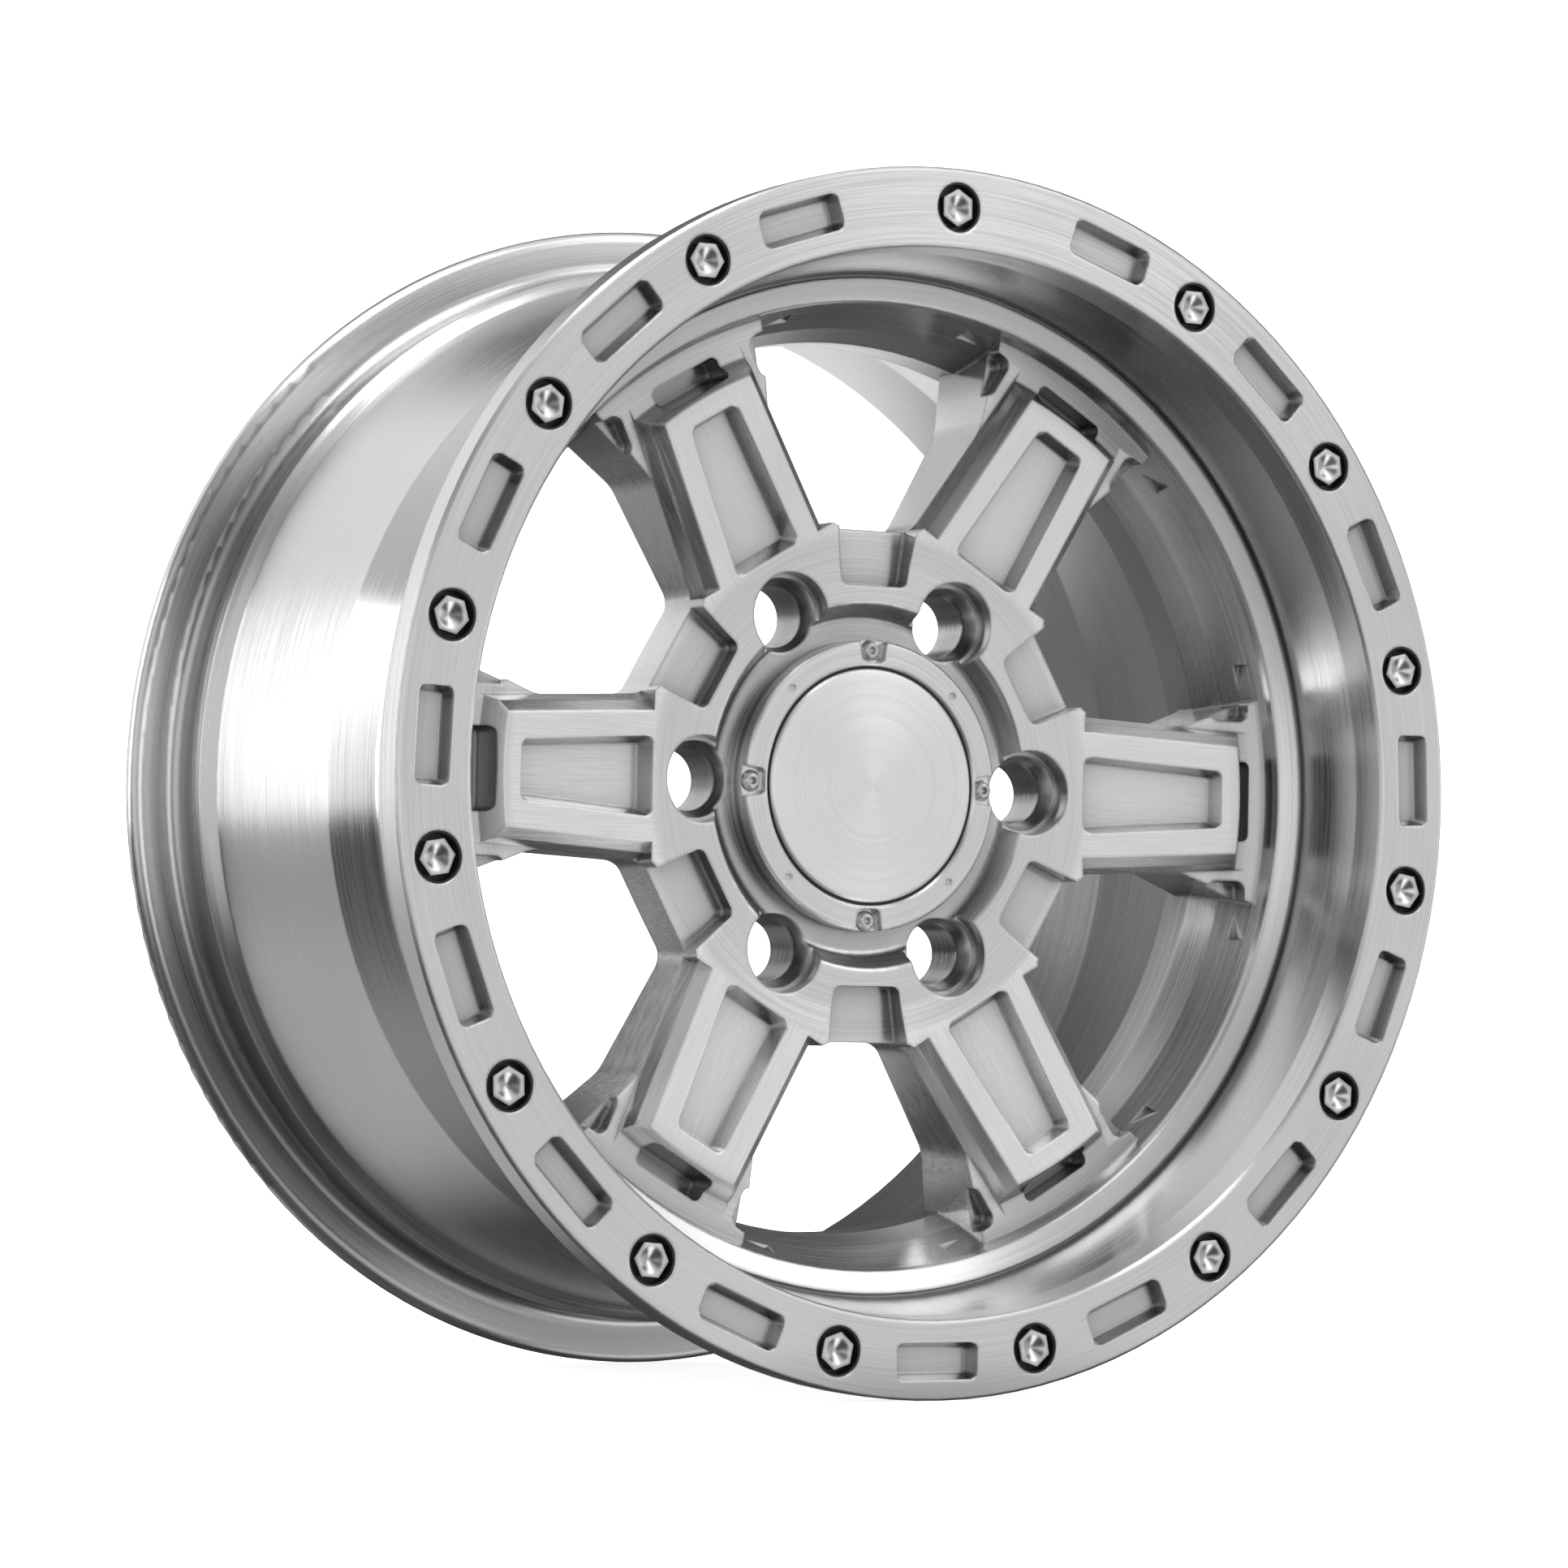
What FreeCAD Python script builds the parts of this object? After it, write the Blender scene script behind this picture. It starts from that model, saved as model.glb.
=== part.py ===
import FreeCAD, Part
import math
import os
import Sketcher

# A one-piece forged road wheel with a bolted-look outer rim ring and a screwed hub cap.
# The wheel turns about Y, its outboard face looks along -Y and +Z is up.
# All lengths are millimetres; every depth is counted from the outboard ring face.

SIZES = (
    ("bead_radius", 202.8),
    ("rim_width", 203.2),
    ("flange_high", 17.2),
    ("front_flange_wide", 12.5),
    ("rear_flange_wide", 9.5),
    ("rear_flange_round", 4.2),
    ("bead_wide", 18.0),
    ("bead_slope", 5.0),
    ("bead_corner", 5.0),
    ("well_deep", 19.8),
    ("well_start", 57.0),
    ("well_end", 88.0),
    ("well_round", 8.0),
    ("barrel_start", 113.5),
    ("barrel_rise", 7.2),
    ("barrel_end", 189.0),
    ("barrel_taper", 8.0),
    ("hump_high", 1.7),
    ("edge_break", 1.0),
    ("ring_bore", 191.2),
    ("ring_bore_deep", 14.3),
    ("lip_end", 185.6),
    ("lip_deep", 43.8),
    ("ledge_wide", 7.4),
    ("ledge_step", 1.5),
    ("ledge_fall", 2.2),
    ("throat_radius", 164.2),
    ("throat_deep", 80.0),
    ("throat_bevel", 4.0),
    ("throat_bevel_deep", 14.0),
    ("barrel_wall", 6.5),
    ("rear_bore", 190.0),
    ("hub_bore", 53.05),
    ("hub_rear_deep", 82.6),
    ("hub_boss", 3.0),
    ("hub_pad_radius", 82.0),
    ("web_rear_deep", 92.0),
    ("lug_circle", 139.7),
    ("lug_bore", 11.3),
    ("lug_recess", 15.8),
    ("lug_recess_deep", 6.2),
    ("lug_seat", 14.2),
    ("lug_seat_deep", 6.8),
    ("pad_deep", 53.2),
    ("pad_inner", 67.0),
    ("trough_outer", 61.5),
    ("trough_deep", 8.2),
    ("face_start_deep", 52.7),
    ("face_end", 156.8),
    ("face_end_deep", 42.4),
    ("foot_deep", 51.0),
    ("foot_run", 6.0),
    ("spoke_count", 6),
    ("spoke_half_inner", 24.2),
    ("spoke_half_outer", 20.1),
    ("bevel_wide", 3.8),
    ("bevel_deep", 3.8),
    ("facet_wide", 2.4),
    ("facet_deep", 6.0),
    ("window_root", 91.0),
    ("window_corner", 9.0),
    ("flare_start", 138.0),
    ("flare_wide", 13.0),
    ("flare_corner", 14.0),
    ("spoke_pocket_start", 91.0),
    ("spoke_pocket_end", 150.2),
    ("spoke_pocket_inner", 15.3),
    ("spoke_pocket_outer", 11.3),
    ("spoke_pocket_deep", 6.5),
    ("spoke_pocket_corner", 4.0),
    ("pocket_draft", 20.0),
    ("pocket_lift", 2.0),
    ("scoop_start", 150.0),
    ("scoop_end", 166.0),
    ("scoop_aside", 3.5),
    ("scoop_wide", 22.0),
    ("scoop_deep", 7.0),
    ("scoop_corner", 4.0),
    ("back_start", 102.0),
    ("back_end", 150.0),
    ("back_wall", 9.0),
    ("back_deep", 26.0),
    ("back_corner", 6.0),
    ("slot_start", 158.2),
    ("slot_wide", 8.6),
    ("slot_half", 15.0),
    ("slot_deep", 9.5),
    ("slot_corner", 2.6),
    ("recess_start", 73.0),
    ("recess_half", 13.6),
    ("recess_spread", 5.0),
    ("recess_deep", 6.5),
    ("recess_corner", 3.0),
    ("ring_bolt_radius", 205.9),
    ("ring_bolt_count", 15),
    ("ring_top_gap", 60.0),
    ("ring_turn", 0.0),
    ("ring_pocket_long", 34.0),
    ("ring_pocket_wide", 13.4),
    ("ring_pocket_deep", 5.6),
    ("ring_pocket_corner", 3.2),
    ("cup_radius", 9.1),
    ("cup_deep", 6.4),
    ("cup_wall", 0.7),
    ("cup_floor", 1.2),
    ("cup_inset", 0.4),
    ("bolt_shank", 3.0),
    ("bolt_grip", 4.0),
    ("bolt_head", 11.8),
    ("bolt_inset", 0.5),
    ("bolt_dimple", 4.7),
    ("bolt_dimple_deep", 2.6),
    ("screw_clearance", 0.1),
    ("cap_deep", 52.3),
    ("bezel_thick", 5.6),
    ("bezel_outer", 53.0),
    ("bezel_inner", 43.7),
    ("bezel_break", 0.7),
    ("cap_flange_thick", 1.6),
    ("cap_flange_lap", 0.9),
    ("cap_seat_wide", 2.6),
    ("cap_seat_thick", 8.0),
    ("cap_gap", 1.1),
    ("cap_dome", 1.1),
    ("seal_sink", 1.4),
    ("cap_screw_circle", 49.4),
    ("cap_screw_count", 4),
    ("cap_screw_head", 4.0),
    ("cap_screw_high", 2.2),
    ("cap_screw_shank", 1.9),
    ("cap_screw_reach", 6.0),
    ("cap_screw_socket", 1.25),
    ("cap_notch_half", 4.6),
    ("cap_notch_deep", 3.2),
    ("cap_dot_radius", 1.3),
    ("cap_dot_deep", 0.8),
)

doc = FreeCAD.newDocument("ForgedWheel")
sheet = doc.addObject("Spreadsheet::Sheet", "Sizes")
for row, (name, size) in enumerate(SIZES, 1):
    sheet.set("A%d" % row, name)
    sheet.set("B%d" % row, str(size))
    sheet.setAlias("B%d" % row, name)
doc.recompute()


def link(text):
    """Expression text with each size word turned into a sheet reference."""
    words = sorted((name for name, _ in SIZES), key=len, reverse=True)
    parts = [text]
    for word in words:
        split = []
        for part in parts:
            if part.startswith("Sizes."):
                split.append(part)
                continue
            bits = part.split(word)
            for index, bit in enumerate(bits):
                if index:
                    split.append("Sizes." + word)
                split.append(bit)
        parts = split
    return "".join(parts)


def number(text):
    """Present value of an expression written with size words."""
    return float(sheet.evalExpression(link(text)))


OVERALL = "(rim_width + front_flange_wide + rear_flange_wide)"


def depth(text):
    """Axial place, along Y, of a depth counted from the ring face."""
    return "(%s - %s / 2)" % (text, OVERALL)


def new_body(name):
    body = doc.addObject("PartDesign::Body", name)
    body.Label = name
    return body


def origin(body, role):
    return next(item for item in body.Origin.OriginFeatures if item.Role == role)


def new_sketch(body, name, plane, offset="0", turn="0"):
    """Sketch on one of the body's origin planes, moved along its normal and turned in it."""
    sketch = body.newObject("Sketcher::SketchObject", name)
    sketch.AttachmentSupport = [(origin(body, plane), "")]
    sketch.MapMode = "FlatFace"
    sketch.AttachmentOffset = FreeCAD.Placement(
        FreeCAD.Vector(0, 0, number(offset)), FreeCAD.Rotation(FreeCAD.Vector(0, 0, 1), number(turn)))
    sketch.setExpression("AttachmentOffset.Base.z", link(offset))
    if turn != "0":
        sketch.setExpression("AttachmentOffset.Rotation.Angle", link(turn))
    return sketch


def fix_point(sketch, geometry, end, x_text, y_text):
    """Hold one end of a sketch element at a place given by two expressions."""
    for kind, text in (("DistanceX", x_text), ("DistanceY", y_text)):
        index = sketch.addConstraint(Sketcher.Constraint(kind, -1, 1, geometry, end, number(text)))
        sketch.setExpression("Constraints[%d]" % index, link(text))


def draw_circle(sketch, x_text, y_text, radius_text):
    centre = FreeCAD.Vector(number(x_text), number(y_text), 0)
    circle = sketch.addGeometry(Part.Circle(centre, FreeCAD.Vector(0, 0, 1), number(radius_text)), False)
    index = sketch.addConstraint(Sketcher.Constraint("Radius", circle, number(radius_text)))
    sketch.setExpression("Constraints[%d]" % index, link(radius_text))
    fix_point(sketch, circle, 3, x_text, y_text)


def draw_outline(sketch, corners):
    """Closed outline of straight sides; each corner is x, y and a rounding radius or None."""
    spots = [FreeCAD.Vector(number(x), number(y), 0) for x, y, _ in corners]
    count = len(spots)
    enter, leave, middle = [], [], []
    for i, (_, _, rounding) in enumerate(corners):
        here = spots[i]
        if rounding is None:
            enter.append(here)
            leave.append(here)
            middle.append(None)
            continue
        back = (spots[i - 1] - here).normalize()
        ahead = (spots[(i + 1) % count] - here).normalize()
        half = back.getAngle(ahead) / 2
        run = number(rounding) / math.tan(half)
        bisector = (back + ahead).normalize()
        reach = number(rounding) / math.sin(half) - number(rounding)
        enter.append(here + back * run)
        leave.append(here + ahead * run)
        middle.append(here + bisector * reach)
    lines = []
    for i in range(count):
        lines.append(sketch.addGeometry(Part.LineSegment(leave[i], enter[(i + 1) % count]), False))
    for i, (x_text, y_text, rounding) in enumerate(corners):
        before, after = lines[i - 1], lines[i]
        if rounding is None:
            sketch.addConstraint(Sketcher.Constraint("Coincident", before, 2, after, 1))
            fix_point(sketch, after, 1, x_text, y_text)
            continue
        arc = sketch.addGeometry(Part.Arc(enter[i], middle[i], leave[i]), False)
        first = 1 if sketch.getPoint(arc, 1).distanceToPoint(enter[i]) < 1e-6 else 2
        mark = sketch.addGeometry(Part.Point(spots[i]), True)
        sketch.addConstraint([
            Sketcher.Constraint("Tangent", before, 2, arc, first),
            Sketcher.Constraint("Tangent", arc, 3 - first, after, 1),
            Sketcher.Constraint("PointOnObject", mark, 1, before),
            Sketcher.Constraint("PointOnObject", mark, 1, after)])
        index = sketch.addConstraint(Sketcher.Constraint("Radius", arc, number(rounding)))
        sketch.setExpression("Constraints[%d]" % index, link(rounding))
        fix_point(sketch, mark, 1, x_text, y_text)


def finish_feature(body, feature):
    feature.Refine = False
    body.Tip = feature
    doc.recompute()
    if feature.Shape.isNull() or not feature.Shape.isValid():
        raise ValueError("%s has no valid shape" % feature.Name)
    return feature


def revolve(body, name, corners, kind="Revolution"):
    """Turned shape about Y from an outline of radius, depth and rounding."""
    sketch = new_sketch(body, name + "Section", "XY_Plane")
    draw_outline(sketch, [(radius, depth(deep), rounding) for radius, deep, rounding in corners])
    feature = body.newObject("PartDesign::" + kind, name)
    feature.Profile = sketch
    feature.ReferenceAxis = (sketch, ["V_Axis"])
    feature.Angle = 360
    return finish_feature(body, feature)


def cut(body, name, sketch, length=None, draft=None, outboard=False):
    """Pocket inboard from a sketch, right through when no length is given."""
    before = body.Tip.Shape.Volume
    feature = body.newObject("PartDesign::Pocket", name)
    feature.Profile = sketch
    feature.Reversed = outboard
    if length is None:
        feature.Type = "ThroughAll"
    else:
        feature.Type = "Length"
        feature.setExpression("Length", link(length))
    if draft is not None:
        feature.setExpression("TaperAngle", link(draft))
    finish_feature(body, feature)
    if feature.Shape.Volume > before - 1:
        raise ValueError("%s cuts nothing" % name)
    return feature


def pad(body, name, sketch, length, inboard=True):
    feature = body.newObject("PartDesign::Pad", name)
    feature.Profile = sketch
    feature.setExpression("Length", link(length))
    feature.Reversed = inboard
    return finish_feature(body, feature)


def cut_loft(body, name, sketches):
    before = body.Tip.Shape.Volume
    feature = body.newObject("PartDesign::SubtractiveLoft", name)
    feature.Profile = sketches[0]
    feature.Sections = sketches[1:]
    feature.Ruled = True
    finish_feature(body, feature)
    if feature.Shape.Volume > before - 1:
        raise ValueError("%s cuts nothing" % name)
    return feature


def around(body, name, features, count, angle="360"):
    """Repeat features about the wheel axis."""
    pattern = body.newObject("PartDesign::PolarPattern", name)
    pattern.Originals = features
    pattern.Axis = (origin(body, "Y_Axis"), [""])
    pattern.setExpression("Angle", link(angle))
    pattern.setExpression("Occurrences", link(count))
    return finish_feature(body, pattern)


def front_offset(deep):
    """Sketch offset, along the outboard normal, of a depth counted from the ring face."""
    return "(%s / 2 - (%s))" % (OVERALL, deep)


FLANGE = "(bead_radius + flange_high)"
BEAD_DROP = "(bead_wide * tan(bead_slope * 1 deg))"
WELL = "(bead_radius - well_deep)"
BARREL_SMALL = "(bead_radius - well_deep + barrel_rise)"
BARREL_BIG = "(bead_radius - well_deep + barrel_rise + barrel_taper)"
REAR_BEAD = "(%s - rear_flange_wide)" % OVERALL
LEDGE_OUT = "(lip_end - ledge_step)"
LEDGE_IN = "(lip_end - ledge_step - ledge_wide)"
CAP_SEAT = "(cap_deep + bezel_thick)"
STEP = "((360 - ring_top_gap) / (ring_bolt_count - 2))"
FACE_SLOPE = "((face_start_deep - face_end_deep) / (face_end - hub_pad_radius))"


def face_deep(along):
    """Depth of the sloping spoke face at a distance along the spoke."""
    return "(face_start_deep - (%s - hub_pad_radius) * %s)" % (along, FACE_SLOPE)


def face_half(along):
    """Half width of the spoke face at a distance along the spoke."""
    fall = "(spoke_half_inner - spoke_half_outer) / (face_end - hub_pad_radius)"
    return "(spoke_half_inner - (%s - hub_pad_radius) * %s)" % (along, fall)


def spoke_half(along):
    return "(%s + bevel_wide + facet_wide)" % face_half(along)


def beside_window(along, aside, side):
    """Place on a spoke, seen from the middle line of the window next to it."""
    across = "%s * (%s * sin(180 deg / spoke_count) - %s * cos(180 deg / spoke_count))" % (side, along, aside)
    outward = "(%s * cos(180 deg / spoke_count) + %s * sin(180 deg / spoke_count))" % (along, aside)
    return across, outward


def add_web(body):
    """Hub and web turned in one, before the windows are cut."""
    revolve(body, "Web", [
        ("(bezel_inner - cap_seat_wide)", CAP_SEAT, None),
        ("bezel_outer", CAP_SEAT, None),
        ("bezel_outer", "(pad_deep + trough_deep)", None),
        ("trough_outer", "(pad_deep + trough_deep)", "2.5"),
        ("pad_inner", "pad_deep", "1.5"),
        ("hub_pad_radius", "face_start_deep", None),
        ("face_end", "face_end_deep", None),
        ("(face_end + foot_run)", "foot_deep", None),
        ("(throat_radius + 12)", "foot_deep", None),
        ("(throat_radius + 12)", "web_rear_deep", None),
        ("(hub_pad_radius + 14)", "(hub_rear_deep - hub_boss)", None),
        ("(hub_pad_radius + 2)", "hub_rear_deep", "2"),
        ("(hub_bore + 1.2)", "hub_rear_deep", None),
        ("hub_bore", "(hub_rear_deep - 1.2)", None),
        ("hub_bore", "(%s + cap_seat_thick)" % CAP_SEAT, None),
        ("(bezel_inner - cap_seat_wide)", "(%s + cap_seat_thick)" % CAP_SEAT, None)])


def cut_windows(body):
    """Six windows with round hub corners and sides that flare in at the spoke feet."""
    sketch = new_sketch(body, "WindowOutline", "XZ_Plane", front_offset("0"))
    beyond = "(throat_radius + 22)"
    right = [
        ("window_root", spoke_half("window_root"), "window_corner"),
        ("flare_start", spoke_half("flare_start"), "flare_corner"),
        ("(throat_radius + 6)", "(%s + flare_wide)" % spoke_half("throat_radius"), None),
        (beyond, "(%s + flare_wide)" % spoke_half("throat_radius"), None)]
    corners = []
    for along, aside, rounding in right:
        corners.append(beside_window(along, aside, "1") + (rounding,))
    for along, aside, rounding in reversed(right):
        corners.append(beside_window(along, aside, "-1") + (rounding,))
    draw_outline(sketch, corners)
    window = cut(body, "Window", sketch)
    around(body, "Windows", [window], "spoke_count")


def cut_spoke_bevels(body):
    """Two facets along each side of every spoke, following the sloping face."""
    lofts = []
    for side, label in (("1", "Upper"), ("-1", "Lower")):
        sections = []
        for along, place in (("(window_root + 1)", "Inner"), ("(throat_radius + 14)", "Outer")):
            sketch = new_sketch(body, label + "Bevel" + place, "YZ_Plane", along)
            half, face = face_half(along), face_deep(along)
            profile = (
                ("(%s - bevel_deep)" % face, "(%s - bevel_wide)" % half),
                ("(%s + bevel_deep)" % face, "(%s + bevel_wide)" % half),
                ("(%s + bevel_deep + facet_deep)" % face, "(%s + bevel_wide + facet_wide)" % half),
                ("(%s + bevel_deep + facet_deep)" % face, "(%s + 25)" % half),
                ("(%s - bevel_deep)" % face, "(%s + 25)" % half))
            draw_outline(sketch, [(depth(deep), "%s * %s" % (side, aside), None) for deep, aside in profile])
            sections.append(sketch)
        lofts.append(cut_loft(body, label + "Bevel", sections))
    around(body, "Bevels", lofts, "spoke_count")


def tilt_over_face(sketch, along):
    """Lay a sketch of the outboard plane just above the sloping spoke face, which rises outward."""
    angle = math.degrees(math.atan(number(FACE_SLOPE)))
    lifted = front_offset("%s - pocket_lift" % face_deep(along))
    sketch.AttachmentOffset = FreeCAD.Placement(
        FreeCAD.Vector(number(along), 0, number(lifted)), FreeCAD.Rotation(FreeCAD.Vector(0, -1, 0), angle))
    sketch.setExpression("AttachmentOffset.Base.x", link(along))
    sketch.setExpression("AttachmentOffset.Base.z", link(lifted))
    sketch.setExpression("AttachmentOffset.Rotation.Angle", link("atan(%s)" % FACE_SLOPE))


def cut_spoke_pockets(body):
    """Tapered pocket in each spoke face and the slot milled across its foot."""
    sketch = new_sketch(body, "SpokePocketOutline", "XZ_Plane")
    tilt_over_face(sketch, "spoke_pocket_start")
    length = "(spoke_pocket_end - spoke_pocket_start)"
    draw_outline(sketch, [
        ("0", "-spoke_pocket_inner", "spoke_pocket_corner"),
        (length, "-spoke_pocket_outer", "spoke_pocket_corner"),
        (length, "spoke_pocket_outer", "spoke_pocket_corner"),
        ("0", "spoke_pocket_inner", "spoke_pocket_corner")])
    pocket = cut(body, "SpokePocket", sketch, "(spoke_pocket_deep + pocket_lift)", "-pocket_draft")
    slot_sketch = new_sketch(body, "FootSlotOutline", "XZ_Plane", front_offset("face_end_deep"))
    draw_outline(slot_sketch, [
        ("slot_start", "-slot_half", "slot_corner"),
        ("(slot_start + slot_wide)", "-slot_half", "slot_corner"),
        ("(slot_start + slot_wide)", "slot_half", "slot_corner"),
        ("slot_start", "slot_half", "slot_corner")])
    slot = cut(body, "FootSlot", slot_sketch, "(foot_deep - face_end_deep + slot_deep)")
    around(body, "SpokePockets", [pocket, slot], "spoke_count")


def cut_foot_scoops(body):
    """Scoop in the shelf on both sides of every spoke foot, open to the window."""
    scoops = []
    for side, label in (("1", "Upper"), ("-1", "Lower")):
        sketch = new_sketch(body, label + "ScoopOutline", "XZ_Plane", front_offset("face_end_deep"))
        inner = "%s * (%s + scoop_aside)" % (side, spoke_half("scoop_start"))
        outer = "%s * (%s + scoop_aside + scoop_wide)" % (side, spoke_half("scoop_start"))
        draw_outline(sketch, [
            ("scoop_start", inner, "scoop_corner"),
            ("scoop_end", inner, "scoop_corner"),
            ("scoop_end", outer, None),
            ("scoop_start", outer, None)])
        scoops.append(cut(body, label + "Scoop", sketch, "(foot_deep - face_end_deep + scoop_deep)"))
    around(body, "FootScoops", scoops, "spoke_count")


def cut_spoke_backs(body):
    """Hollow in the back of each spoke that leaves an even wall behind the face pocket."""
    sketch = new_sketch(body, "SpokeBackOutline", "XZ_Plane", front_offset("(web_rear_deep + 6)"))
    half = "(%s - back_wall)"
    inner, outer = half % spoke_half("back_start"), half % spoke_half("back_end")
    draw_outline(sketch, [
        ("back_start", "-%s" % inner, "back_corner"),
        ("back_end", "-%s" % outer, "back_corner"),
        ("back_end", outer, "back_corner"),
        ("back_start", inner, "back_corner")])
    back = cut(body, "SpokeBack", sketch, "(back_deep + 6)", None, True)
    around(body, "SpokeBacks", [back], "spoke_count")


def cut_hub_recesses(body):
    """Open recess on the hub pad at the root of each window."""
    sketch = new_sketch(body, "HubRecessOutline", "XZ_Plane", front_offset("face_end_deep"))
    beyond = "(recess_start + 34)"
    draw_outline(sketch, [
        ("-recess_half", "recess_start", "recess_corner"),
        ("recess_half", "recess_start", "recess_corner"),
        ("(recess_half + recess_spread)", beyond, None),
        ("(-recess_half - recess_spread)", beyond, None)])
    recess = cut(body, "HubRecess", sketch, "(pad_deep - face_end_deep + recess_deep)")
    around(body, "HubRecesses", [recess], "spoke_count")


def cut_lug_holes(body):
    """Six nut holes, each turned about its own axis: straight recess, cone seat and through bore."""
    radius = "(lug_circle / 2)"
    sketch = new_sketch(body, "LugSection", "XY_Plane")
    floor = "(pad_deep + lug_recess_deep)"
    profile = (
        ("0", "(face_end_deep - 6)"),
        ("lug_recess", "(face_end_deep - 6)"),
        ("lug_recess", floor),
        ("lug_seat", floor),
        ("lug_bore", "(%s + lug_seat_deep)" % floor),
        ("lug_bore", "(hub_rear_deep + 6)"),
        ("0", "(hub_rear_deep + 6)"))
    draw_outline(sketch, [("(%s + %s)" % (radius, aside), depth(deep), None) for aside, deep in profile])
    axis = sketch.addGeometry(Part.LineSegment(
        FreeCAD.Vector(number(radius), -10, 0), FreeCAD.Vector(number(radius), 10, 0)), True)
    sketch.addConstraint(Sketcher.Constraint("Vertical", axis))
    fix_point(sketch, axis, 1, radius, "-10")
    before = body.Tip.Shape.Volume
    hole = body.newObject("PartDesign::Groove", "LugHole")
    hole.Profile = sketch
    hole.ReferenceAxis = (sketch, ["Axis0"])
    hole.Angle = 360
    finish_feature(body, hole)
    if hole.Shape.Volume > before - 1:
        raise ValueError("LugHole cuts nothing")
    around(body, "LugHoles", [hole], "spoke_count")


def add_barrel(body):
    """Outer ring, lip, drop well, bead seats and inboard flange turned in one."""
    revolve(body, "Barrel", [
        ("(ring_bore + edge_break)", "0", None),
        ("(%s - edge_break)" % FLANGE, "0", None),
        (FLANGE, "edge_break", None),
        (FLANGE, "(front_flange_wide - edge_break)", None),
        ("(%s - edge_break)" % FLANGE, "front_flange_wide", None),
        ("bead_radius", "front_flange_wide", "bead_corner"),
        ("(bead_radius - %s)" % BEAD_DROP, "(front_flange_wide + bead_wide)", None),
        (WELL, "well_start", "well_round"),
        (WELL, "well_end", "well_round"),
        (BARREL_SMALL, "barrel_start", None),
        (BARREL_BIG, "barrel_end", None),
        ("(bead_radius - %s)" % BEAD_DROP, "(barrel_end + 3)", None),
        ("(bead_radius - %s + hump_high)" % BEAD_DROP, "(barrel_end + 5.5)", None),
        ("(bead_radius - %s + hump_high)" % BEAD_DROP, "(barrel_end + 7)", None),
        ("(bead_radius - %s)" % BEAD_DROP, "(barrel_end + 9.5)", None),
        ("bead_radius", REAR_BEAD, "bead_corner"),
        (FLANGE, REAR_BEAD, "rear_flange_round"),
        (FLANGE, OVERALL, "rear_flange_round"),
        ("rear_bore", OVERALL, "2"),
        ("(%s - barrel_wall)" % BARREL_BIG, "(barrel_end - 4)", None),
        ("(%s - barrel_wall)" % BARREL_SMALL, "(barrel_start + 8)", None),
        ("throat_radius", "(web_rear_deep + 4)", None),
        ("throat_radius", "throat_deep", None),
        ("(throat_radius + throat_bevel)", "(throat_deep - throat_bevel_deep)", None),
        ("(%s - 1)" % LEDGE_IN, "(lip_deep - ledge_step + ledge_fall + 3)", None),
        ("(%s - 0.5)" % LEDGE_IN, "(lip_deep - ledge_step + ledge_fall + 0.6)", None),
        (LEDGE_IN, "(lip_deep - ledge_step + ledge_fall)", None),
        (LEDGE_OUT, "(lip_deep - ledge_step)", None),
        ("(lip_end - 0.6)", "lip_deep", None),
        ("lip_end", "lip_deep", None),
        ("(ring_bore - 0.7)", "ring_bore_deep", None),
        ("ring_bore", "edge_break", None)])


def ring_sketch(body, name, deep, turn):
    """Sketch on the ring face whose vertical line is turned clockwise from the top bolt."""
    return new_sketch(body, name, "XZ_Plane", front_offset(deep), "(ring_turn - %s)" % turn)


def cut_ring(body):
    """Pockets and bolt recesses of the rim ring; the bolts stand wider apart beside the top one."""
    pocket_sketch = ring_sketch(body, "RingPocketOutline", "0", "(ring_top_gap / 2 - %s / 2)" % STEP)
    low, high = "(ring_bolt_radius - ring_pocket_wide / 2)", "(ring_bolt_radius + ring_pocket_wide / 2)"
    draw_outline(pocket_sketch, [
        ("-ring_pocket_long / 2", low, "ring_pocket_corner"),
        ("ring_pocket_long / 2", low, "ring_pocket_corner"),
        ("ring_pocket_long / 2", high, "ring_pocket_corner"),
        ("-ring_pocket_long / 2", high, "ring_pocket_corner")])
    pocket = cut(body, "RingPocket", pocket_sketch, "ring_pocket_deep", "-pocket_draft")
    around(body, "RingPockets", [pocket], "ring_bolt_count", "(%s * (ring_bolt_count - 1))" % STEP)
    for name, turn in (("Top", "0"), ("Side", "ring_top_gap / 2")):
        cup_sketch = ring_sketch(body, name + "CupOutline", "0", turn)
        draw_circle(cup_sketch, "0", "ring_bolt_radius", "cup_radius")
        cup = cut(body, name + "Cup", cup_sketch, "cup_deep")
        thread_sketch = ring_sketch(body, name + "ThreadOutline", "cup_deep", turn)
        draw_circle(thread_sketch, "0", "ring_bolt_radius", "(bolt_shank + screw_clearance)")
        thread = cut(body, name + "Thread", thread_sketch, "(bolt_grip + 0.5)")
    around(body, "RingRecesses", [cup, thread], "(ring_bolt_count - 1)", "(%s * (ring_bolt_count - 2))" % STEP)


def cut_cap_threads(body):
    """Threaded holes for the cap screws."""
    sketch = new_sketch(body, "CapThreadOutline", "XZ_Plane", front_offset(CAP_SEAT))
    draw_circle(sketch, "0", "cap_screw_circle", "(cap_screw_shank + screw_clearance)")
    hole = cut(body, "CapThread", sketch, "(cap_screw_reach + 0.5)")
    around(body, "CapThreads", [hole], "cap_screw_count")


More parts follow.
